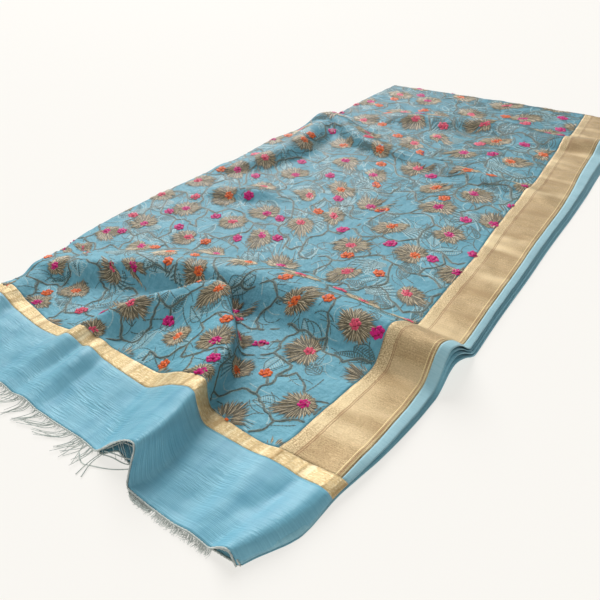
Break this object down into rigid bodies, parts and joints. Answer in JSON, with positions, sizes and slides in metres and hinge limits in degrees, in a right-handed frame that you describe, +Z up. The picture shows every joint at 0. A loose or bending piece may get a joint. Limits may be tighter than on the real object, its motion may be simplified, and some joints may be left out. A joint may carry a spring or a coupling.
{
  "type": "folded embroidered saree",
  "caption": "Long silk saree laid folded on a surface, with a woven gold side border, an embroidered body, a gold stripe, a plain end and a short fringe.",
  "frame": {"origin": "middle of the folded cloth's outline, on the surface it lies on", "axes": "+X across the cloth from its left fold to its woven edges, +Y along the cloth away from the fringe, +Z up out of the surface"},
  "size_m": [0.5754, 1.2518, 0.0546],
  "materials": {
    "field_silk": "sky-blue silk covered with silk-thread embroidery, soft sheen",
    "border_gold": "woven beige-gold metallic thread, ribbed across, satin sheen",
    "selvedge_silk": "plain light blue silk edge, tightly woven",
    "stripe_gold": "woven pale-gold metallic thread, satin sheen",
    "end_silk": "plain sky-blue silk with fine slubs and a silky sheen",
    "layer_silk": "plain sky-blue silk, the edges of the folded layers",
    "fringe_thread": "grey-blue silk warp threads, matt"
  },
  "bodies": {
    "root": {"field": "field_silk", "side_border": "border_gold", "selvedge": "selvedge_silk", "end_stripe": "stripe_gold", "plain_end": "end_silk", "hidden_layers": "layer_silk", "fringe_left": "fringe_thread", "fringe_mouth": "fringe_thread", "fringe_right": "fringe_thread"}
  },
  "joints": []
}
